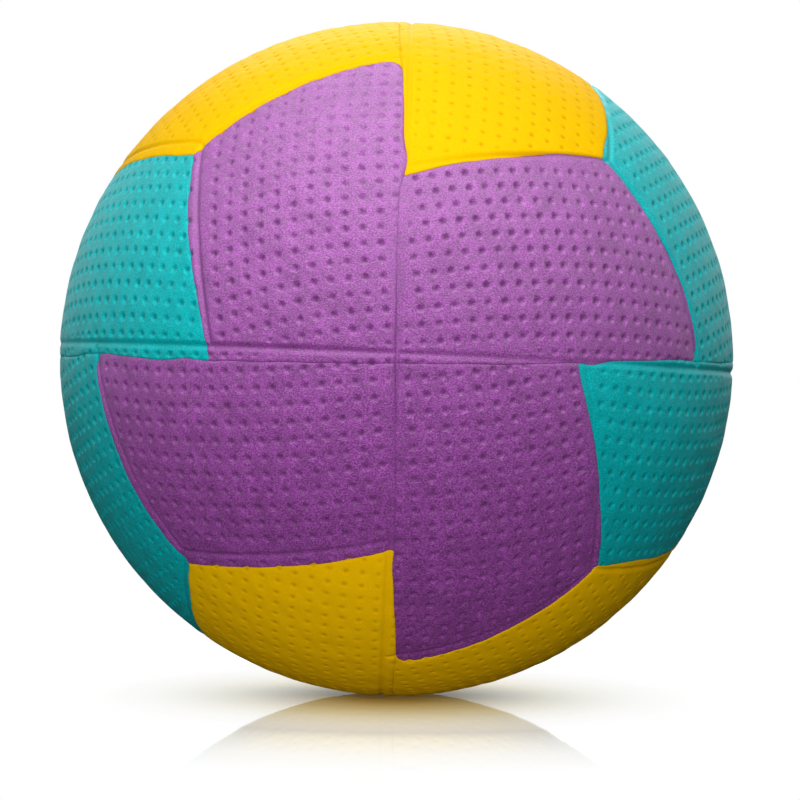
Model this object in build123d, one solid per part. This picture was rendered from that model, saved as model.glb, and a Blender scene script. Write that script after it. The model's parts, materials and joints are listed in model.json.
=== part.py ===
from build123d import *
import math
import os

# Handball: foam-rubber panels glued on an inflated rubber carcass, with a needle valve.
# Millimetres, +Z up, origin at the ball's centre. The front group of panels faces -Y.

# Ball and its layers, from the outside in
ball_circumference = 510.0
cover_thickness = 4.0
carcass_thickness = 1.1
winding_thickness = 1.0
bladder_thickness = 0.8
bond_gap = 0.1

# Cover panels: six groups of four, each panel a bowed four-sided patch of the sphere
short_side_angle = 31.0
edge_bow = 0.75
panel_gap = 0.1
tip_radius = 1.2
corner_radius = 0.8
seam_round = 0.5

# Valve boot, bonded inside the bladder, with its neck flush in the cover
neck_diameter = 11.0
flange_diameter = 30.0
flange_thickness = 1.5
tail_diameter = 9.0
tail_length = 5.0
valve_recess = 0.4

# Valve core, a headed plug in the boot's stepped bore
head_diameter = 7.0
head_thickness = 1.6
shank_diameter = 4.6
nose_length = 3.0
nose_diameter = 3.2
core_fit = 0.15
needle_hole_diameter = 2.0
needle_hole_depth = 8.0
mouth_chamfer = 0.4

cut_overrun = 2.0

# Radii of the layers
ball_radius = ball_circumference / (2 * math.pi)
cover_inner_radius = ball_radius - cover_thickness
carcass_radius = cover_inner_radius - bond_gap
winding_radius = carcass_radius - carcass_thickness - bond_gap
bladder_radius = winding_radius - winding_thickness - bond_gap
bladder_inner_radius = bladder_radius - bladder_thickness

# Corners of the upper left front panel, as directions from the ball's centre.
# Three panels meet at the octant corner; the tip and the heel lie on the great circles.
quarter_turn = 90.0
group_centre = Vector(0, -1, 0)
heel = group_centre.rotate(Axis.Z, -short_side_angle)
octant_corner = Vector(-1, -1, 1).normalized()
tip = group_centre.rotate(Axis.X, short_side_angle - quarter_turn)
panel_middle = (group_centre + heel + octant_corner + tip).normalized()
valve_direction = panel_middle.rotate(Axis.Z, 2 * quarter_turn)
valve_plane = Plane(origin=(0, 0, 0), z_dir=valve_direction)


def wall_plane(start, finish, bow):
    """Plane of a panel wall. The panel lies on its +z side; a positive bow swells the panel."""
    inward = start.cross(finish).normalized()
    first = start * ball_radius
    last = finish * ball_radius
    middle = (start + finish).normalized() * ball_radius
    bowed = (middle - inward * bow).normalized() * ball_radius
    normal = (bowed - first).cross(last - first).normalized()
    return Plane(origin=first + normal * (panel_gap / 2), z_dir=normal)


def make_panel():
    """The upper left front panel: a patch of the cover between four flat walls."""
    panel = Sphere(ball_radius) - Sphere(cover_inner_radius)
    walls = [
        wall_plane(group_centre, tip, 0),
        wall_plane(tip, octant_corner, edge_bow),
        wall_plane(octant_corner, heel, -edge_bow),
        wall_plane(heel, group_centre, 0),
    ]
    for wall in walls:
        panel = split(panel, bisect_by=wall, keep=Keep.TOP)
    for corner in (group_centre, tip, octant_corner, heel):
        wall_edges = panel.edges().filter_by(GeomType.LINE)
        corner_edge = wall_edges.sort_by_distance(corner * ball_radius)[0]
        panel = fillet(corner_edge, tip_radius if corner is tip else corner_radius)
    outside = panel.faces().filter_by(GeomType.SPHERE).sort_by(SortBy.AREA)[-1]
    return fillet(outside.edges(), seam_round)


def valve_cone(low_diameter, high_diameter, low, high):
    """A cone on the valve's axis between two distances from the ball's centre."""
    align = (Align.CENTER, Align.CENTER, Align.MIN)
    cone = Cone(low_diameter / 2, high_diameter / 2, high - low, align=align)
    return valve_plane * Pos(0, 0, low) * cone


def valve_cylinder(diameter, low, high):
    """A cylinder on the valve's axis between two distances from the ball's centre."""
    align = (Align.CENTER, Align.CENTER, Align.MIN)
    return valve_plane * Pos(0, 0, low) * Cylinder(diameter / 2, high - low, align=align)


def make_layer(radius, thickness):
    """A spherical layer with the hole that the valve's neck passes through."""
    hole = valve_cylinder(neck_diameter + 2 * bond_gap, 0, radius + cut_overrun)
    return Sphere(radius) - Sphere(radius - thickness) - hole


# Heights along the valve's axis, as distances from the ball's centre
neck_top = ball_radius - valve_recess
flange_radius = bladder_inner_radius - bond_gap
boot_end = flange_radius - flange_thickness - tail_length
head_seat = neck_top - head_thickness


def make_boot():
    """Rubber neck, flange that follows the bladder's inside, and tail, with the stepped bore."""
    dome = Sphere(flange_radius) - Sphere(flange_radius - flange_thickness)
    flange = dome & valve_cylinder(flange_diameter, 0, ball_radius)
    neck = valve_cylinder(neck_diameter, flange_radius - flange_thickness, neck_top)
    tail = valve_cylinder(tail_diameter, boot_end, flange_radius)
    boot = flange + neck + tail
    boot -= valve_cylinder(shank_diameter + 2 * core_fit, boot_end - cut_overrun, ball_radius)
    boot -= valve_cylinder(head_diameter + 2 * core_fit, head_seat - core_fit, ball_radius)
    return boot


def make_core():
    """Headed plug with a tapered nose and the blind hole that guides the needle."""
    head = valve_cylinder(head_diameter, head_seat, neck_top)
    shank = valve_cylinder(shank_diameter, boot_end, head_seat)
    nose = valve_cone(nose_diameter, shank_diameter, boot_end - nose_length, boot_end)
    core = head + shank + nose
    core -= valve_cylinder(needle_hole_diameter, neck_top - needle_hole_depth, ball_radius)
    mouth = core.edges().filter_by(GeomType.CIRCLE).sort_by_distance(valve_direction * neck_top)[0]
    return chamfer(mouth, mouth_chamfer)


def write(shape, node):
    export_step(shape, f"parts/{node}.step")


os.makedirs("parts", exist_ok=True)

# Turns that carry the front group to each of the six groups
group_turns = {
    "front": Rot(0, 0, 0),
    "back": Rot(0, 0, 2 * quarter_turn),
    "top": Rot(-quarter_turn, 0, 0),
    "bottom": Rot(quarter_turn, 0, 0),
    "left": Rot(0, 0, -quarter_turn),
    "right": Rot(0, 0, quarter_turn),
}
panels_in_group = 4
panel = make_panel()
valve_hole = valve_cylinder(neck_diameter + 2 * bond_gap, 0, ball_radius + cut_overrun)
for group, group_turn in group_turns.items():
    for count in range(panels_in_group):
        placed = group_turn * Rot(0, count * quarter_turn, 0) * panel
        if group == "back" and count == 0:
            placed = placed - valve_hole
        write(placed, f"{group}_panel_{count + 1}")

write(make_layer(carcass_radius, carcass_thickness), "carcass")
write(make_layer(winding_radius, winding_thickness), "winding")
write(make_layer(bladder_radius, bladder_thickness), "bladder")
write(make_boot(), "valve_boot")
write(make_core(), "valve_core")
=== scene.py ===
import json
import math

import bmesh
import bpy
import numpy as np
from mathutils import Matrix, Vector


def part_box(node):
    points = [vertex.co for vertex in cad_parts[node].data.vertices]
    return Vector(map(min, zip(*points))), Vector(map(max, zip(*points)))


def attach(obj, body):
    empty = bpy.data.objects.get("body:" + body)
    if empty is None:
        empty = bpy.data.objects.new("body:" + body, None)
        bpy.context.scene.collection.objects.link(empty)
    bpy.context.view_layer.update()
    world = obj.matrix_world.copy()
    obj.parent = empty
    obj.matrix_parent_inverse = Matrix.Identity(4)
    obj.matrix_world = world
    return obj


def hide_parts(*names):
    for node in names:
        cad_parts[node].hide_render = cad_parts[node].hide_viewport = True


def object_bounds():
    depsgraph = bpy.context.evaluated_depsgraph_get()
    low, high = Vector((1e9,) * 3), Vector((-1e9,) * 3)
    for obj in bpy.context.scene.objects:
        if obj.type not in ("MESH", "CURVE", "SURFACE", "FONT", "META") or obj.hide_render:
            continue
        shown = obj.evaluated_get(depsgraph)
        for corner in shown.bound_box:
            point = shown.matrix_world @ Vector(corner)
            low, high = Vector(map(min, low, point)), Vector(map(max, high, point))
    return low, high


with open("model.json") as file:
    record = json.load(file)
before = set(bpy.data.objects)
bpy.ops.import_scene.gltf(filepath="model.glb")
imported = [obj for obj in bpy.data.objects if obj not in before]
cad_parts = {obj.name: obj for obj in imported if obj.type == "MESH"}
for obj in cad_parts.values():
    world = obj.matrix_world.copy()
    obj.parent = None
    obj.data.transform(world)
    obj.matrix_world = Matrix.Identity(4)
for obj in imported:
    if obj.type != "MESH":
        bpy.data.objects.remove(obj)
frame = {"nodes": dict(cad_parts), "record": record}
cad_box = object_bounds()
nodes = frame["nodes"]

# Bladder: the airtight bag inside the ball, dip-moulded in black butyl rubber.
# It is blown up through the valve and presses the layers around it into a sphere.
mm = 0.001
butyl_black = (0.022, 0.022, 0.024)
butyl_grain = 0.6 * mm
mottle_size = 9 * mm
mould_grain_depth = 0.05 * mm
bloom = 0.08


def new_finish(name, colour, roughness):
    """A material with one Principled shader, and the Object coordinates its patterns read."""
    finish = bpy.data.materials.new(name)
    finish.use_nodes = True
    shader = finish.node_tree.nodes["Principled BSDF"]
    shader.inputs["Base Color"].default_value = (*colour, 1)
    shader.inputs["Roughness"].default_value = roughness
    coordinates = finish.node_tree.nodes.new("ShaderNodeTexCoord")
    return finish, shader, coordinates.outputs["Object"]


def noise(finish, place, grain_size, detail, harshness=0.5):
    """Noise whose blotches are about grain_size across."""
    texture = finish.node_tree.nodes.new("ShaderNodeTexNoise")
    texture.inputs["Scale"].default_value = 1 / grain_size
    texture.inputs["Detail"].default_value = detail
    texture.inputs["Roughness"].default_value = harshness
    finish.node_tree.links.new(place, texture.inputs["Vector"])
    return texture.outputs["Fac"]


def ramp(finish, value, *stops):
    """Turns a value into a colour by stops of (position, colour)."""
    node = finish.node_tree.nodes.new("ShaderNodeValToRGB")
    bands = node.color_ramp.elements
    while len(bands) < len(stops):
        bands.new(0.5)
    for band, (position, colour) in zip(bands, stops):
        band.position = position
        band.color = (*colour, 1)
    finish.node_tree.links.new(value, node.inputs["Fac"])
    return node.outputs["Color"]


def bump(finish, shader, height, depth):
    """Fine relief on the shader's normal, depth metres deep."""
    node = finish.node_tree.nodes.new("ShaderNodeBump")
    node.inputs["Strength"].default_value = 1
    node.inputs["Distance"].default_value = depth
    finish.node_tree.links.new(height, node.inputs["Height"])
    finish.node_tree.links.new(node.outputs["Normal"], shader.inputs["Normal"])


def shade(colour, factor):
    return tuple(factor * channel for channel in colour)


def grey(value):
    return (value,) * 3


def dress(node, finish):
    """Gives a CAD node its finish."""
    nodes[node].data.materials.clear()
    nodes[node].data.materials.append(finish)


def moulded_rubber(name, colour, roughness, grain_size):
    """Moulded rubber: a faint mottle, patches of bloom and the fine grain of the mould."""
    finish, shader, place = new_finish(name, colour, roughness)
    link = finish.node_tree.links.new
    mottle = noise(finish, place, mottle_size, 4)
    tint = ramp(finish, mottle, (0.3, shade(colour, 0.75)), (0.7, shade(colour, 1.4)))
    link(tint, shader.inputs["Base Color"])
    rough = ramp(finish, mottle, (0.3, grey(roughness - bloom)), (0.7, grey(roughness + bloom)))
    link(rough, shader.inputs["Roughness"])
    bump(finish, shader, noise(finish, place, grain_size, 3), mould_grain_depth)
    return finish


dress("bladder", moulded_rubber("butyl_rubber", butyl_black, 0.38, butyl_grain))

# Winding: nylon yarn wound over the bladder in all directions and set in latex.
# It stops the bladder from stretching, so the ball keeps its size.
yarn_white = (0.62, 0.6, 0.53)
yarn_width = 1.1 * mm
yarn_depth = 0.3 * mm
yarn_waver = 1.5
yarn_turns = ((0.2, 0.5, 0.1), (1.2, 0.3, 0.9), (0.4, 1.3, 2.0))


def largest(tree, values):
    """The largest of several shader values."""
    result = values[0]
    for value in values[1:]:
        larger = tree.nodes.new("ShaderNodeMath")
        larger.operation = "MAXIMUM"
        tree.links.new(result, larger.inputs[0])
        tree.links.new(value, larger.inputs[1])
        result = larger.outputs[0]
    return result


def wound_yarn():
    """Bands of yarn crossing in three directions, told apart by their height. Lower yarn is
    painted darker, as shade.
    """
    finish, shader, place = new_finish("wound_yarn", yarn_white, 0.72)
    link = finish.node_tree.links.new
    heights = []
    for turn in yarn_turns:
        mapping = finish.node_tree.nodes.new("ShaderNodeMapping")
        mapping.inputs["Rotation"].default_value = turn
        link(place, mapping.inputs["Vector"])
        wave = finish.node_tree.nodes.new("ShaderNodeTexWave")
        wave.inputs["Scale"].default_value = 1 / yarn_width
        wave.inputs["Distortion"].default_value = yarn_waver
        link(mapping.outputs["Vector"], wave.inputs["Vector"])
        heights.append(wave.outputs["Fac"])
    top = largest(finish.node_tree, heights)
    # Painted shade: the yarn is darker where it lies lower, between the upper bands.
    tint = ramp(finish, top, (0.2, shade(yarn_white, 0.45)), (0.9, yarn_white))
    link(tint, shader.inputs["Base Color"])
    bump(finish, shader, top, yarn_depth)
    return finish


dress("winding", wound_yarn())

# Carcass: the rubber ball moulded over the winding, to which the cover panels are glued.
# Its outside is buffed so that the glue holds.
carcass_black = (0.035, 0.034, 0.036)
buffed_grain = 0.35 * mm
dress("carcass", moulded_rubber("buffed_rubber", carcass_black, 0.75, buffed_grain))

# Valve boot: the neck, flange and tail moulded in soft black rubber around the valve's bore.
# The flange is bonded inside the bladder, and the neck comes up through all the layers.
valve_black = (0.02, 0.02, 0.021)
boot_grain = 0.4 * mm
ball_radius = (cad_box[1].z - cad_box[0].z) / 2
valve_axis = Vector(frame["record"]["behaviour"]["joints"][0]["axis"])
valve_upright = valve_axis.to_track_quat("Z", "Y").to_matrix().to_4x4()
valve_recess = 0.4 * mm
neck_top = ball_radius - valve_recess
neck_radius = 5.5 * mm
flange_radius = 15.0 * mm
flange_thickness = 1.5 * mm
bladder_thickness = 0.8 * mm
bond_gap = 0.1 * mm
flange_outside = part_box("bladder")[1].z - bladder_thickness - bond_gap
flange_inside = flange_outside - flange_thickness
tail_radius = 4.5 * mm
tail_length = 5.0 * mm
tail_end = flange_inside - tail_length
bore_radius = 2.45 * mm
seat_radius = 3.65 * mm
seat_depth = 1.75 * mm
boot_rounding = 0.35 * mm
spin_steps = 72
merge_distance = 0.001 * mm
rim_angle = math.radians(25)
rim_segments = 4
sharp_angle = math.radians(35)


def new_object(name, data):
    """A new object in the scene."""
    made = bpy.data.objects.new(name, data)
    bpy.context.scene.collection.objects.link(made)
    return made


def on_sphere(sphere_radius, radius):
    """Profile point of a sphere at this distance from the valve's axis."""
    return radius, math.sqrt(sphere_radius**2 - radius**2)


def turned_rubber(name, profile, is_ring, rounding):
    """A moulding turned about the valve's axis from a profile of radius and distance from the
    ball's centre, with rounded rims."""
    moulding = bmesh.new()
    points = [moulding.verts.new((radius, 0, height)) for radius, height in profile]
    pairs = zip(points, points[1:] + points[:1]) if is_ring else zip(points, points[1:])
    lines = [moulding.edges.new(pair) for pair in pairs]
    bmesh.ops.spin(
        moulding,
        geom=points + lines,
        axis=(0, 0, 1),
        cent=(0, 0, 0),
        angle=2 * math.pi,
        steps=spin_steps,
        use_merge=True,
    )
    bmesh.ops.remove_doubles(moulding, verts=moulding.verts, dist=merge_distance)
    bmesh.ops.recalc_face_normals(moulding, faces=moulding.faces)
    rims = [edge for edge in moulding.edges if edge.calc_face_angle(0) > rim_angle]
    bmesh.ops.bevel(
        moulding,
        geom=rims,
        offset=rounding,
        affect="EDGES",
        segments=rim_segments,
        profile=0.5,
        material=-1,
        clamp_overlap=True,
    )
    for face in moulding.faces:
        face.smooth = True
    bmesh.ops.transform(moulding, matrix=valve_upright, verts=moulding.verts)
    mesh = bpy.data.meshes.new(name)
    moulding.to_mesh(mesh)
    moulding.free()
    mesh.set_sharp_from_angle(angle=sharp_angle)
    return new_object(name, mesh)


boot = turned_rubber(
    "valve_boot_rubber",
    (
        (bore_radius, tail_end),
        (tail_radius, tail_end),
        on_sphere(flange_inside, tail_radius),
        on_sphere(flange_inside, (tail_radius + flange_radius) / 2),
        on_sphere(flange_inside, flange_radius),
        on_sphere(flange_outside, flange_radius),
        on_sphere(flange_outside, (neck_radius + flange_radius) / 2),
        on_sphere(flange_outside, neck_radius),
        (neck_radius, neck_top),
        (seat_radius, neck_top),
        (seat_radius, neck_top - seat_depth),
        (bore_radius, neck_top - seat_depth),
    ),
    is_ring=True,
    rounding=boot_rounding,
)
boot.data.materials.append(moulded_rubber("boot_rubber", valve_black, 0.5, boot_grain))
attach(boot, "ball")
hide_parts("valve_boot")

# Cover panels: die-cut foam rubber glued edge to edge on the carcass, then pressed in a hot
# mould that leaves dimples and soft grooves. The mould sits a little turned against the
# panels, so its grooves run beside the colour edges and not on them.
cover_inner_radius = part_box("carcass")[1].z + bond_gap

# The outline of the upper left front panel, as directions from the ball's centre
short_side_angle = math.radians(31)
side_bow = 0.75 * mm
quarter_turn = math.radians(90)
third_turn = math.radians(120)
group_centre = Vector((0, -1, 0))
heel = Matrix.Rotation(-short_side_angle, 3, "Z") @ group_centre
tip = Matrix.Rotation(short_side_angle - quarter_turn, 3, "X") @ group_centre
octant_corner = Vector((-1, -1, 1)).normalized()
corners = [np.array(corner) for corner in (group_centre, tip, octant_corner, heel)]
bows = (0, side_bow, -side_bow, 0)
side_count = 120
arc_count = 51
outline_count = 1600
tangent_share = 0.03


def unit(vectors):
    return vectors / np.linalg.norm(vectors, axis=-1, keepdims=True)


def side_points(start, finish, bow, shares):
    """Points on a panel's side; a positive bow swells the panel."""
    angle = math.acos(start @ finish)
    points = np.sin((1 - shares) * angle)[:, None] * start + np.sin(shares * angle)[:, None] * finish
    inward = unit(np.cross(start, finish))
    rise = bow / ball_radius * 4 * shares * (1 - shares)
    return unit(points / math.sin(angle) - rise[:, None] * inward)


def tip_sides(tip_round):
    """The two sides that meet at the rounded tip: from the group's centre to the middle of the
    tip, and from there to the octant corner. The last value is the rounding's first half, from
    the middle of the tip back to the long side."""
    centre, point, corner, _ = corners
    near_point = side_points(point, corner, side_bow, np.array([tangent_share]))[0]
    to_centre = unit(centre - point * (centre @ point))
    to_corner = unit(near_point - point * (near_point @ point))
    half_angle = math.acos(to_centre @ to_corner) / 2
    inward = unit(to_centre + to_corner)
    sideways = unit(to_corner - to_centre)
    arc_end = quarter_turn - half_angle
    angles = np.linspace(-arc_end, arc_end, arc_count)[:, None]
    arc = inward * (1 / math.sin(half_angle) - np.cos(angles)) + sideways * np.sin(angles)
    arc = unit(point + arc * tip_round / ball_radius)
    reach = tip_round / math.tan(half_angle) / ball_radius
    long_shares = np.linspace(0, 1 - reach / math.acos(centre @ point), side_count)[:-1]
    bowed_shares = np.linspace(reach / math.acos(point @ corner), 1, side_count)[1:]
    long_side = side_points(centre, point, 0, long_shares)
    bowed_side = side_points(point, corner, side_bow, bowed_shares)
    middle = arc_count // 2
    to_tip = np.vstack([long_side, arc[: middle + 1]])
    from_tip = np.vstack([arc[middle:], bowed_side])
    return to_tip, from_tip, arc[middle::-1]


def graded(count):
    """Shares from 0 to 1, closer together at both ends, where the panel's edge rolls over."""
    steps = np.ones(count)
    edge_steps = (0.25, 0.3, 0.4, 0.55, 0.7, 0.85)
    for place, step in enumerate(edge_steps):
        steps[place] = step
        steps[-1 - place] = step
    return np.concatenate([np.zeros(1), np.cumsum(steps) / steps.sum()])


def spaced(points, shares):
    """Points at these shares of a line's length."""
    lengths = np.linalg.norm(np.diff(points, axis=0), axis=1)
    reached = np.concatenate([np.zeros(1), np.cumsum(lengths)]) / lengths.sum()
    return unit(np.stack([np.interp(shares, reached, points[:, axis]) for axis in range(3)], 1))


# One flat grid for the outside and a coarser one for the glued side, joined at their rims
long_steps = 240
short_steps = 152
back_step = 8
back_level = -1
grid = bmesh.new()
bmesh.ops.create_grid(grid, x_segments=long_steps, y_segments=short_steps, size=1)
for face in grid.faces:
    face.smooth = True
bmesh.ops.create_grid(
    grid,
    x_segments=long_steps // back_step,
    y_segments=short_steps // back_step,
    size=1,
    matrix=Matrix.Translation((0, 0, back_level)),
)
rims = [edge for edge in grid.edges if edge.is_boundary]
bmesh.ops.bridge_loops(grid, edges=rims)
bmesh.ops.recalc_face_normals(grid, faces=grid.faces)
flat_panel = bpy.data.meshes.new("flat_panel")
grid.to_mesh(flat_panel)
grid.free()
flat = np.empty(len(flat_panel.vertices) * 3)
flat_panel.vertices.foreach_get("co", flat)
flat = flat.reshape(-1, 3)
is_outside = flat[:, 2] > back_level / 2
along = np.rint((flat[:, 0] + 1) / 2 * long_steps).astype(int)
across = np.rint((flat[:, 1] + 1) / 2 * short_steps).astype(int)
batch_count = 40


def panel_surface(own_round, heel_round):
    """Directions of the grid's points on the upper left front panel, with the four sides
    blended across it, and how far each outside point is from the edge. The heel fills the
    space beside another panel's rounded tip."""
    to_tip, to_corner, _ = tip_sides(own_round)
    _, next_side, next_arc = tip_sides(heel_round)
    tip_to_heel = np.array(Matrix.Rotation(-third_turn, 3, octant_corner))
    to_heel = np.vstack([next_side[::-1], next_arc[1:]]) @ tip_to_heel.T
    to_centre = side_points(to_heel[-1], corners[0], 0, np.linspace(0, 1, side_count))
    long_grade, short_grade = graded(long_steps), graded(short_steps)
    lower = spaced(to_tip, long_grade)[along]
    upper = spaced(to_heel[::-1], long_grade)[along]
    start = spaced(to_centre[::-1], short_grade)[across]
    end = spaced(to_corner, short_grade)[across]
    far = long_grade[along][:, None]
    high = short_grade[across][:, None]
    blend = (1 - high) * lower + high * upper + (1 - far) * start + far * end
    blend -= (1 - high) * ((1 - far) * to_tip[0] + far * to_tip[-1])
    blend -= high * ((1 - far) * to_heel[-1] + far * to_heel[0])
    directions = unit(blend)
    sides = np.vstack([to_tip, to_corner, to_heel, to_centre])
    outline = spaced(sides, np.linspace(0, 1, outline_count))
    batches = np.array_split(directions[is_outside], batch_count)
    nearest = np.concatenate([(batch @ outline.T).max(1) for batch in batches])
    return directions, np.arccos(np.clip(nearest, -1, 1)) * ball_radius


# The turns that carry the front upper left panel to every other panel of the ball
group_turns = {
    "front": Matrix.Identity(3),
    "back": Matrix.Rotation(2 * quarter_turn, 3, "Z"),
    "top": Matrix.Rotation(-quarter_turn, 3, "X"),
    "bottom": Matrix.Rotation(quarter_turn, 3, "X"),
    "left": Matrix.Rotation(-quarter_turn, 3, "Z"),
    "right": Matrix.Rotation(quarter_turn, 3, "Z"),
}
panels_in_group = 4
panel_turns = {
    f"{group}_panel_{count + 1}": np.array(turn @ Matrix.Rotation(count * quarter_turn, 3, "Y"))
    for group, turn in group_turns.items()
    for count in range(panels_in_group)
}

# The panels are laid by hand, so their edges wander. Each shift has its place on the ball, seen
# from the front, as mm right and up of the middle, then mm moved right and up, then its reach.
glue_shifts = (
    (0.5, 58, 1.3, -0.1, 15),
    (0.8, 45, 1.4, 0, 4),
    (19, 48, 0, 0.5, 11),
    (38, 49, 0, 0.8, 9),
    (49, 60, 1.9, -2.2, 11),
    (50, 52, 1.6, 0, 4),
    (66, 20, 1.4, 0, 18),
    (62, -1, 0, 0.9, 11),
    (46, -3, -1.9, 0.5, 8),
    (45.5, -1.2, 0, -0.9, 2.5),
    (50, -27, -0.4, 0, 13),
    (49, -46, -0.4, 0, 5),
    (54, -49, 0, 1.3, 9),
    (22, -66, 0, -0.5, 18),
    (8, -72, 0, -1, 9),
    (-1, -66, 0.55, 0, 8),
    (-1.7, -46, -0.5, 0.2, 3),
    (-12, -48.5, 0, -0.5, 7),
    (-49, -61, -0.5, 1, 9),
    (-59, -40, -1.6, 0, 13),
    (-66, -16, -0.5, 0, 14),
    (-69, 0.5, 0, 1.1, 8),
    (-61, 0, 0, 0.45, 5),
    (-47, 0, 0, 0.45, 3),
    (-50, 30, -0.9, 0, 9),
)
wobble_height = 0.045 * mm
wobble_length = 3.5 * mm
wobble_count = 6
wobble_waves = np.random.default_rng(7).normal(0, 1 / wobble_length, (3, wobble_count, 3))


def front_place(right, up):
    """Direction of the point that is this many mm right and up of the middle."""
    place = np.array((right, 0, up)) * mm / ball_radius
    place[1] = -math.sqrt(1 - place @ place)
    return place


def laid(directions):
    """Where hand gluing has put these points of the panels."""
    moved = np.zeros_like(directions)
    for right, up, move_right, move_up, reach in glue_shifts:
        place = front_place(right, up)
        rightward = unit(np.cross((0, 0, 1), place))
        upward = np.cross(place, rightward)
        away = np.linalg.norm(directions - place, axis=1) * ball_radius / (reach * mm)
        shift = (rightward * move_right + upward * move_up) * mm
        moved += np.exp(-(away**2) / 2)[:, None] * shift
    for axis in range(3):
        waves = np.sin(directions * ball_radius @ wobble_waves[axis].T + np.arange(wobble_count))
        moved[:, axis] += wobble_height * waves.sum(1)
    return unit(directions + moved / ball_radius)


# The mould: its turn against the panels, its grooves and its grid of dimples. It presses unevenly:
# each change has its place, as mm right and up of the middle, then its share, then its reach in mm.
mould_angle = math.radians(2.6)
mould_axis = Vector((-1.65, 2.1, 0.2)).normalized()
mould_turn = np.array(Matrix.Rotation(mould_angle, 3, mould_axis))
groove_depth = 0.5 * mm
groove_width = 0.7 * mm
groove_shade = 0.2
groove_swing = 0.2
groove_swing_length = 18 * mm
groove_changes = (
    (1, 35, -0.75, 16),
    (1, -25, -0.7, 14),
    (42, 2, -0.5, 14),
    (30, -58, -0.8, 20),
    (-60, -30, -0.6, 15),
    (2, 74, -0.6, 12),
    (22, 49, 0.9, 14),
    (-60, 50, 0.4, 10),
    (52, 57, -0.85, 8),
    (48, -22, -0.8, 15),
    (-77.5, -20, -0.8, 10),
    (77.5, -22, -0.8, 12),
)
dimple_pitch = np.array((3.94, 3.86)) * mm
dimple_shift = np.array((0.8, 2.0)) * mm
dimple_lean = math.radians(11.9)
dimple_radius = 1.2 * mm
dimple_depths = {"purple_foam": 0.6 * mm, "yellow_foam": 0.19 * mm, "teal_foam": 0.5 * mm}
dimple_margin = (0.9 * mm, 2.2 * mm)
dimple_least = 0.8
dimple_spread = 0.35
dimple_seeds = (12.99, 78.23, 37.72)
dimple_shuffle = 43758.5
dimple_changes = (
    (-19, 57, -0.4, 15),
    (-62, -46, -0.6, 15),
    (22, -57, -0.35, 14),
    (28, 30, 0.25, 26),
    (-32, 25, 0.15, 20),
    (-30, -38, 0.2, 16),
    (70, 35, 0.35, 22),
    (-66, 22, 0.25, 20),
)
edge_depth = 0.2 * mm
edge_width = 0.25 * mm
edge_shade = 0.5
uneven_height = 0.025 * mm
uneven_length = 1.6 * mm
uneven_count = 8
uneven_waves = np.random.default_rng(11).normal(0, 1 / uneven_length, (uneven_count, 3))
groove_waves = np.random.default_rng(5).normal(0, 1 / groove_swing_length, (3, 3))

# The creases by the top seam, each from one place to another, as mm right and up of the middle
creases = ((7, 59.1, 8.8, 56.8), (7, 56.7, 7.6, 51.9), (8.2, 50.7, 10.4, 48.3))
crease_depth = 0.16 * mm
crease_width = 0.4 * mm

# The middle of the upper left front cell, and the right and up that its dimples are counted in
cell_middle = unit(sum(corners))
cell_up = unit(np.array((0, 0, 1)) - cell_middle[2] * cell_middle)
cell_right = np.cross(cell_up, cell_middle)
cell_right *= np.sign(cell_right[0])


def step_up(low, high, value):
    """A smooth rise from 0 at low to 1 at high."""
    share = np.clip((value - low) / (high - low), 0, 1)
    return share * share * (3 - 2 * share)


def side_gap(points, start, finish, bow):
    """Distance from a side, counted positive inside the panel."""
    chord = finish - start
    share = np.clip((points - start) @ chord / (chord @ chord), 0, 1)
    return points @ unit(np.cross(start, finish)) * ball_radius + bow * 4 * share * (1 - share)


def mould_places(directions):
    """Each direction's place in the mould's cell: its distance from the grooves, the point
    folded onto the upper left front cell, and the cell's number."""
    in_mould = directions @ mould_turn
    margin = np.full(len(directions), -np.inf)
    folded = np.zeros_like(directions)
    cell = np.zeros(len(directions))
    for number, turn in enumerate(panel_turns.values()):
        points = in_mould @ turn
        sides = zip(corners, corners[1:] + corners[:1], bows)
        gap = np.min([side_gap(points, *side) for side in sides], axis=0)
        deeper = gap > margin
        margin[deeper] = gap[deeper]
        folded[deeper] = points[deeper]
        cell[deeper] = number
    return margin, folded, cell


def pressing(directions, changes):
    """How hard the mould has pressed, around 1."""
    strength = np.ones(len(directions))
    for right, up, change, reach in changes:
        away = np.linalg.norm(directions - front_place(right, up), axis=1)
        strength *= 1 + change * np.exp(-((away * ball_radius / (reach * mm)) ** 2))
    return strength


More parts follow.
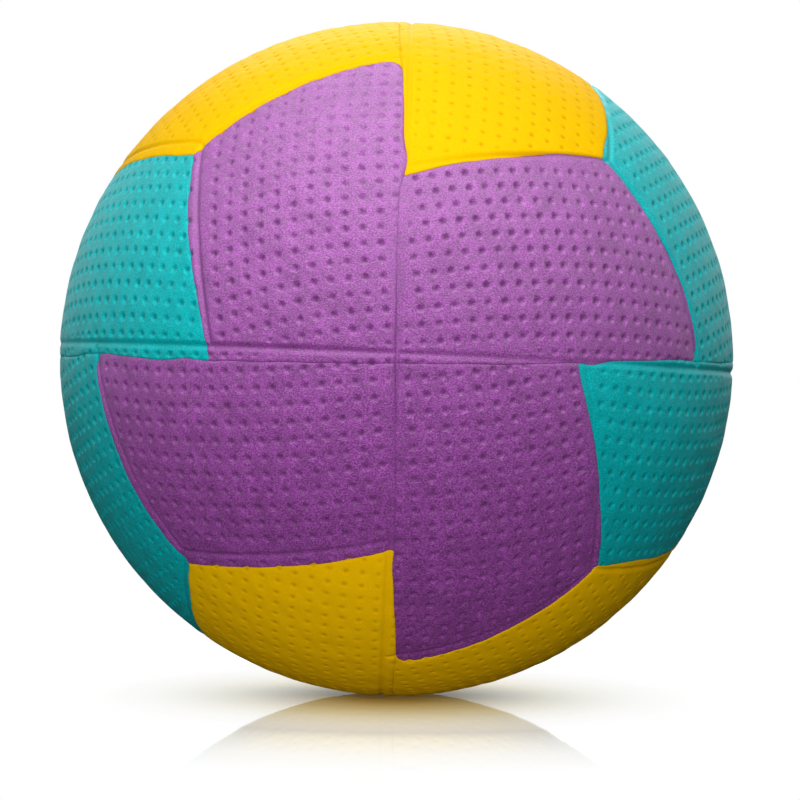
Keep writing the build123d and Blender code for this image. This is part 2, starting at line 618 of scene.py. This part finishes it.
def relief(directions, edge_gap, dimple_depth):
    """Height of the pressed surface over the plain sphere, in metres, and how much darker the colour
    is made there, from 0 to 1: partly foam pressed dense, partly painted shade in the dimples,
    grooves and along the seams."""
    margin, folded, cell = mould_places(directions)
    angle = np.arccos(np.clip(folded @ cell_middle, -1, 1))
    spread = ball_radius * angle / np.maximum(np.sin(angle), 1e-9)
    right = folded @ cell_right * spread
    up = folded @ cell_up * spread
    straight = math.cos(dimple_lean)
    slanted = math.sin(dimple_lean)
    column = (right * straight + up * slanted - dimple_shift[0]) / dimple_pitch[0]
    row = (up * straight - right * slanted - dimple_shift[1]) / dimple_pitch[1]
    off_column = (column - np.rint(column)) * dimple_pitch[0]
    off_row = (row - np.rint(row)) * dimple_pitch[1]
    seeds = np.rint(column), np.rint(row), cell
    seed = sum(number * step for number, step in zip(seeds, dimple_seeds))
    uneven = dimple_least + dimple_spread * np.modf(np.abs(np.sin(seed) * dimple_shuffle))[0]
    from_middle = np.clip(np.hypot(off_column, off_row) / dimple_radius, 0, 1)
    bowl = 0.5 + 0.5 * np.cos(math.pi * from_middle)
    dimple = uneven * bowl * step_up(*dimple_margin, margin) * pressing(directions, dimple_changes)
    places = directions * ball_radius
    strength = 1 + groove_swing * np.sin(places @ groove_waves.T + np.arange(3)).sum(1)
    strength *= pressing(directions, groove_changes)
    groove = strength * np.exp(-((margin / groove_width) ** 2))
    edge = np.exp(-edge_gap / edge_width)
    height = -dimple_depth * dimple - groove_depth * groove - edge_depth * edge
    height += uneven_height * np.sin(places @ uneven_waves.T + np.arange(uneven_count)).sum(1)
    for crease in creases:
        first = front_place(*crease[:2])
        run = front_place(*crease[2:]) - first
        share = np.clip((directions - first) @ run / (run @ run), 0, 1)
        off = np.linalg.norm(directions - first - share[:, None] * run, axis=1)
        height -= crease_depth * np.exp(-((off * ball_radius / crease_width) ** 2))
    return height, np.clip(dimple**2 + groove_shade * groove + edge_shade * edge, 0, 1)


cell_size = 0.4 * mm
cell_stretch = (1, 1, 1.5)
cell_depth = 0.3 * mm
blotch_size = 5 * mm
blotch_contrast = 0.2


def foam_rubber(name, colour, pressed_and_shade_colour, roughness, shine, shine_tint, grain):
    """Foam rubber: a fine cell grain, a soft shine, and darker in dimples, grooves and along seams,
    partly as foam pressed dense and partly as painted shade.
    """
    finish, shader, place = new_finish(name, colour, roughness)
    new = finish.node_tree.nodes.new
    link = finish.node_tree.links.new
    stretch = new("ShaderNodeMapping")
    stretch.inputs["Scale"].default_value = cell_stretch
    link(place, stretch.inputs["Vector"])
    speckle = noise(finish, stretch.outputs["Vector"], cell_size, 3, harshness=0.65)
    grained = ramp(
        finish,
        speckle,
        (0.36, shade(colour, 1 - grain)),
        (0.52, colour),
        (0.68, shade(colour, 1 + 1.5 * grain)),
    )
    blotch = noise(finish, place, blotch_size, 2)
    contrast = blotch_contrast * grain
    patches = ramp(finish, blotch, (0.3, grey(1 - contrast)), (0.7, grey(1 + contrast)))
    mottle = new("ShaderNodeMix")
    mottle.data_type = "RGBA"
    mottle.blend_type = "MULTIPLY"
    mottle.inputs["Factor"].default_value = 1
    link(grained, mottle.inputs["A"])
    link(patches, mottle.inputs["B"])
    # This mask darkens the colour in dimples, grooves and seams: partly foam pressed dense, partly
    # painted shade.
    pressed_and_shade = new("ShaderNodeAttribute")
    pressed_and_shade.attribute_name = "pressed_and_shade"
    darken = new("ShaderNodeMix")
    darken.data_type = "RGBA"
    link(pressed_and_shade.outputs["Fac"], darken.inputs["Factor"])
    link(mottle.outputs["Result"], darken.inputs["A"])
    darken.inputs["B"].default_value = (*pressed_and_shade_colour, 1)
    link(darken.outputs["Result"], shader.inputs["Base Color"])
    rough = ramp(finish, speckle, (0.3, grey(roughness - 0.05)), (0.7, grey(roughness + 0.1)))
    link(rough, shader.inputs["Roughness"])
    shader.inputs["Specular IOR Level"].default_value = shine
    shader.inputs["Specular Tint"].default_value = (*shine_tint, 1)
    bump(finish, shader, speckle, cell_depth * grain)
    return finish


purple = (0.268, 0.058, 0.298)
yellow = (0.865, 0.495, 0.001)
teal = (0.001, 0.395, 0.414)
# The pressed colours darken dimples, grooves and seams: partly foam pressed dense, partly painted
# shade.
finishes = {
    "purple_foam": foam_rubber(
        "purple_cover",
        colour=purple,
        pressed_and_shade_colour=shade(purple, 0.6),
        roughness=0.45,
        shine=0.9,
        shine_tint=(1, 1, 0.9),
        grain=0.6,
    ),
    "yellow_foam": foam_rubber(
        "yellow_cover",
        colour=yellow,
        pressed_and_shade_colour=(0.64, 0.34, 0.001),
        roughness=0.5,
        shine=0.02,
        shine_tint=(1, 0.7, 0.05),
        grain=0.06,
    ),
    "teal_foam": foam_rubber(
        "teal_cover",
        colour=teal,
        pressed_and_shade_colour=shade(teal, 0.58),
        roughness=0.46,
        shine=0.5,
        shine_tint=(0.38, 1, 1),
        grain=0.33,
    ),
}
group_slots = {
    "front": "purple_foam",
    "back": "purple_foam",
    "top": "yellow_foam",
    "bottom": "yellow_foam",
    "left": "teal_foam",
    "right": "teal_foam",
}
valve_panel = "back_panel_1"
valve_hole_radius = neck_radius + bond_gap
valve_hole_segments = 96
punch_length = 4 * (ball_radius - cover_inner_radius)


def punch_valve_hole(panel):
    """Cuts the round hole that the valve's neck comes up through."""
    punch = bmesh.new()
    bmesh.ops.create_cone(
        punch,
        cap_ends=True,
        segments=valve_hole_segments,
        radius1=valve_hole_radius,
        radius2=valve_hole_radius,
        depth=punch_length,
    )
    place = Matrix.Translation(valve_axis * ball_radius) @ valve_upright
    bmesh.ops.transform(punch, matrix=place, verts=punch.verts)
    punch_mesh = bpy.data.meshes.new("valve_punch")
    punch.to_mesh(punch_mesh)
    punch.free()
    cut = panel.modifiers.new("valve_hole", "BOOLEAN")
    cut.object = new_object("valve_punch", punch_mesh)
    cut.solver = "EXACT"
    punched = bpy.data.meshes.new_from_object(
        panel.evaluated_get(bpy.context.evaluated_depsgraph_get())
    )
    panel.modifiers.clear()
    whole = panel.data
    panel.data = punched
    bpy.data.meshes.remove(whole)
    bpy.data.meshes.remove(punch_mesh)


# Every panel is the same grid, bent to its place and pressed. Purple and teal lie a little lower,
# and a panel's heel takes up the rounding of the tip that it meets.
panel_sinks = {"purple_foam": 0.1 * mm, "yellow_foam": 0, "teal_foam": 0.05 * mm}
tip_rounds = {"purple_foam": 3.2 * mm, "yellow_foam": 0.5 * mm, "teal_foam": 0.5 * mm}
surfaces = {}

for name, turn in panel_turns.items():
    group = name.split("_")[0]
    slot = group_slots[group]
    others = [other for other in group_turns if other != group]
    heel_place = Vector(turn @ corners[3])
    met = max(others, key=lambda other: heel_place @ (group_turns[other] @ group_centre))
    rounds = tip_rounds[slot], tip_rounds[group_slots[met]]
    if rounds not in surfaces:
        surfaces[rounds] = panel_surface(*rounds)
    directions, edge_gaps = surfaces[rounds]
    directions = laid(directions @ turn.T)
    heights = np.full(len(directions), cover_inner_radius)
    pressed_and_shade = np.zeros(len(directions))
    if name == valve_panel:
        off_axis = np.linalg.norm(np.cross(directions[is_outside], valve_axis), axis=1)
        edge_gaps = np.minimum(edge_gaps, np.abs(off_axis * ball_radius - valve_hole_radius))
    # This mask darkens the colour in dimples, grooves and along seams: partly foam pressed dense,
    # partly painted shade.
    rise, pressed_and_shade[is_outside] = relief(directions[is_outside], edge_gaps, dimple_depths[slot])
    heights[is_outside] = ball_radius + rise - panel_sinks[slot]
    mesh = flat_panel.copy()
    mesh.name = name + "_foam"
    mesh.vertices.foreach_set("co", (directions * heights[:, None]).ravel())
    mesh.attributes.new("pressed_and_shade", "FLOAT", "POINT").data.foreach_set("value", pressed_and_shade)
    mesh.update()
    mesh.materials.append(finishes[slot])
    panel = new_object(name + "_foam", mesh)
    if name == valve_panel:
        punch_valve_hole(panel)
    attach(panel, "ball")
    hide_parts(name)
bpy.data.meshes.remove(flat_panel)

# Valve core: the plug that is pushed into the boot last, moulded in harder black rubber.
# Its head sits in the boot's mouth, and a needle goes in through the hole in the middle.
plug_black = (0.03, 0.03, 0.033)
plug_grain = 0.3 * mm
plug_rounding = 0.2 * mm
head_radius = 3.5 * mm
head_thickness = 1.6 * mm
shank_radius = 2.3 * mm
nose_radius = 1.6 * mm
nose_length = 3.0 * mm
needle_radius = 1.0 * mm
needle_depth = 8.0 * mm
funnel = 0.4 * mm
core = turned_rubber(
    "valve_core_rubber",
    (
        (0, tail_end - nose_length),
        (nose_radius, tail_end - nose_length),
        (shank_radius, tail_end),
        (shank_radius, neck_top - head_thickness),
        (head_radius, neck_top - head_thickness),
        (head_radius, neck_top),
        (needle_radius + funnel, neck_top),
        (needle_radius, neck_top - funnel),
        (needle_radius, neck_top - needle_depth),
        (0, neck_top - needle_depth),
    ),
    is_ring=False,
    rounding=plug_rounding,
)
core.data.materials.append(moulded_rubber("plug_rubber", plug_black, 0.42, plug_grain))
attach(core, "valve_plug")
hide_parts("valve_core")

# Stage: a white acrylic floor under the ball. It mirrors the ball's foot, ever fainter outwards,
# and has a soft shadow with a painted warm tint near the foot, for the light that the yellow panels
# throw back.
floor_size = 6.0
shadow_shift = 0.06 * ball_radius
shadow_core = 0.08 * ball_radius
shadow_reach = 0.86 * ball_radius
mirror_reach = 1.75 * ball_radius
mirror_roughness = 0.035
mirror_facing = (0.2, 0.88)
dull_reach = 0.8 * ball_radius
dull_greys = (0.35, 0.05)

# By share of the mirror's reach: how strong the mirror is, its colour, and the floor's colour, which
# carries a painted warm light near the foot
mirror_strengths = (
    (0, 0.1),
    (0.13, 0.25),
    (0.2, 0.38),
    (0.3, 0.45),
    (0.53, 0.46),
    (0.67, 0.26),
    (0.81, 0.11),
    (1, 0),
)
# Mirror colours dim and cool the reflection near the foot and brighten it about threefold farther
# out, more than a real mirror gives: painted light.
mirror_colours = (
    (0.1, (0.5, 0.62, 0.8)),
    (0.26, (0.62, 0.74, 0.94)),
    (0.38, (0.7, 0.8, 1)),
    (0.46, (0.72, 0.8, 0.97)),
    (0.54, (0.86, 0.9, 0.99)),
    (0.62, (2.5, 3.2, 2.6)),
)
# Floor colours above 1 near the foot paint a warm light onto the floor and its shadow.
floor_colours_painted_warm = (
    (0.1, (1.45, 1.25, 0.6)),
    (0.26, (1.45, 1.29, 0.82)),
    (0.38, (1.23, 1.13, 0.9)),
    (0.5, (1.18, 1.12, 1.01)),
    (0.62, (1, 1, 1)),
)

floor_mesh = bpy.data.meshes.new("floor")
sheet = bmesh.new()
bmesh.ops.create_grid(sheet, x_segments=1, y_segments=1, size=floor_size / 2)
bmesh.ops.translate(sheet, verts=sheet.verts, vec=(0, 0, cad_box[0].z))
sheet.to_mesh(floor_mesh)
sheet.free()
floor = new_object("floor", floor_mesh)

acrylic = bpy.data.materials.new("white_acrylic")
acrylic.use_nodes = True
tree = acrylic.node_tree
tree.nodes.clear()
link = tree.links.new


def seen_on(tree, *kinds):
    """1 on these kinds of ray, 0 on the others."""
    path = tree.nodes.new("ShaderNodeLightPath")
    return largest(tree, [path.outputs[kind] for kind in kinds])


# Distance from the shadow's middle, in metres and as a share of the mirror's reach
place = tree.nodes.new("ShaderNodeTexCoord")
flatten = tree.nodes.new("ShaderNodeVectorMath")
flatten.operation = "MULTIPLY_ADD"
flatten.inputs[1].default_value = (1, 1, 0)
flatten.inputs[2].default_value = (0, shadow_shift, 0)
link(place.outputs["Object"], flatten.inputs[0])
from_foot = tree.nodes.new("ShaderNodeVectorMath")
from_foot.operation = "LENGTH"
link(flatten.outputs["Vector"], from_foot.inputs[0])
distance = from_foot.outputs["Value"]
shares = tree.nodes.new("ShaderNodeMath")
shares.operation = "DIVIDE"
shares.inputs[1].default_value = mirror_reach
link(distance, shares.inputs[0])

# The white of the floor, lit in the shadow and glowing beyond it, painted warm near the foot
painted_warm_light = ramp(acrylic, shares.outputs[0], *floor_colours_painted_warm)
white = tree.nodes.new("ShaderNodeBsdfDiffuse")
link(painted_warm_light, white.inputs["Color"])
glow = tree.nodes.new("ShaderNodeEmission")
link(painted_warm_light, glow.inputs["Color"])
brighten = tree.nodes.new("ShaderNodeMapRange")
brighten.interpolation_type = "SMOOTHSTEP"
brighten.inputs["From Min"].default_value = shadow_core
brighten.inputs["From Max"].default_value = shadow_reach
link(distance, brighten.inputs["Value"])
lit = tree.nodes.new("ShaderNodeMixShader")
link(brighten.outputs["Result"], lit.inputs["Fac"])
link(white.outputs[0], lit.inputs[1])
link(glow.outputs[0], lit.inputs[2])

# The mirror over it, stronger at a flat slant
mirror = tree.nodes.new("ShaderNodeBsdfGlossy")
mirror.inputs["Roughness"].default_value = mirror_roughness
link(ramp(acrylic, shares.outputs[0], *mirror_colours), mirror.inputs["Color"])
fade = ramp(
    acrylic, shares.outputs[0], *((share, grey(value)) for share, value in mirror_strengths)
)
slant = tree.nodes.new("ShaderNodeLayerWeight")
gloss = tree.nodes.new("ShaderNodeMapRange")
gloss.inputs["From Min"].default_value = mirror_facing[0]
gloss.inputs["From Max"].default_value = mirror_facing[1]
link(slant.outputs["Facing"], gloss.inputs["Value"])
strength = tree.nodes.new("ShaderNodeMath")
strength.operation = "MULTIPLY"
link(gloss.outputs["Result"], strength.inputs[0])
link(fade, strength.inputs[1])
polished = tree.nodes.new("ShaderNodeMixShader")
link(strength.outputs[0], polished.inputs["Fac"])
link(lit.outputs[0], polished.inputs[1])
link(mirror.outputs[0], polished.inputs[2])

# The duller floor that throws light back at the ball
dullness = tree.nodes.new("ShaderNodeMapRange")
dullness.inputs["From Max"].default_value = dull_reach
dullness.inputs["To Min"].default_value = dull_greys[0]
dullness.inputs["To Max"].default_value = dull_greys[1]
link(distance, dullness.inputs["Value"])
dull = tree.nodes.new("ShaderNodeBsdfDiffuse")
link(dullness.outputs["Result"], dull.inputs["Color"])
choose = tree.nodes.new("ShaderNodeMixShader")
link(seen_on(tree, "Is Camera Ray", "Is Transmission Ray"), choose.inputs["Fac"])
link(dull.outputs[0], choose.inputs[1])
link(polished.outputs[0], choose.inputs[2])
output = tree.nodes.new("ShaderNodeOutputMaterial")
link(choose.outputs[0], output.inputs["Surface"])
floor_mesh.materials.append(acrylic)

# The room: white to the camera and in reflections, a dim even grey as a light
room_grey = 0.13
world = bpy.data.worlds.new("studio")
bpy.context.scene.world = world
world.use_nodes = True
tree = world.node_tree
tree.nodes.clear()
link = tree.links.new
output = tree.nodes.new("ShaderNodeOutputWorld")
backdrop = tree.nodes.new("ShaderNodeBackground")
backdrop.inputs["Color"].default_value = (1, 1, 1, 1)
dim = tree.nodes.new("ShaderNodeBackground")
dim.inputs["Color"].default_value = (*grey(room_grey), 1)
choose = tree.nodes.new("ShaderNodeMixShader")
link(seen_on(tree, "Is Camera Ray", "Is Glossy Ray", "Is Transmission Ray"), choose.inputs["Fac"])
link(dim.outputs[0], choose.inputs[1])
link(backdrop.outputs[0], choose.inputs[2])
link(choose.outputs[0], output.inputs["Surface"])


def softbox(name, place, width, depth, power):
    """A lamp with a diffusing front, aimed at the ball."""
    lamp = bpy.data.lights.new(name, "AREA")
    lamp.shape = "RECTANGLE"
    lamp.size = width
    lamp.size_y = depth
    lamp.energy = power
    holder = new_object(name, lamp)
    holder.location = place
    holder.rotation_euler = (-Vector(place)).to_track_quat("-Z", "Y").to_euler()
    return holder


# The lamps: a softbox overhead and one high behind, a low strip in front and another behind, and a
# wide softbox above that only gives the top its shine
overhead = softbox("overhead", place=(-0.03, -0.3, 0.75), width=0.75, depth=0.45, power=6.3)
overhead.visible_glossy = False
softbox("high_back", place=(0, 1.2, 0.8), width=0.8, depth=0.5, power=6)
for name, side in (("front_fill", -1), ("back_fill", 1)):
    fill = softbox(name, place=(side * 0.13, side * 1.6, -0.02), width=1.2, depth=0.1, power=20)
    fill.visible_glossy = False
top_shine = softbox("top_shine", place=(0, -0.2, 0.8), width=1.2, depth=1.2, power=11)
top_shine.visible_diffuse = False

# Camera: level with the ball's middle and square to the front group of panels, but for the small
# turn that the ball has in the photograph
image_pixels = 800
ball_pixels = 336.7
ball_pixel_place = (396.0, 358.3)
camera_distance = 10.5 * ball_radius
photo_turn_angle = math.radians(0.868)
photo_turn_axis = Vector((0.706, 0.499, -0.073)).normalized()
camera_turn = Matrix.Rotation(photo_turn_angle, 3, photo_turn_axis).transposed()
camera_data = bpy.data.cameras.new("camera")
outline_slope = math.tan(math.asin(ball_radius / camera_distance))
image_slope = outline_slope * image_pixels / ball_pixels
camera_data.sensor_width = 36
camera_data.lens = camera_data.sensor_width / image_slope
image_middle = (image_pixels - 1) / 2
camera_data.shift_x = (image_middle - ball_pixel_place[0]) / image_pixels
camera_data.shift_y = (ball_pixel_place[1] - image_middle) / image_pixels
camera = new_object("camera", camera_data)
facing_front = Matrix(((1, 0, 0), (0, 0, -1), (0, 1, 0)))
camera_place = camera_turn @ Vector((0, -camera_distance, 0))
camera_aim = (camera_turn @ facing_front).to_quaternion()
camera.matrix_world = Matrix.LocRotScale(camera_place, camera_aim, None)
bpy.context.scene.camera = camera
bpy.context.scene.view_settings.view_transform = "Standard"
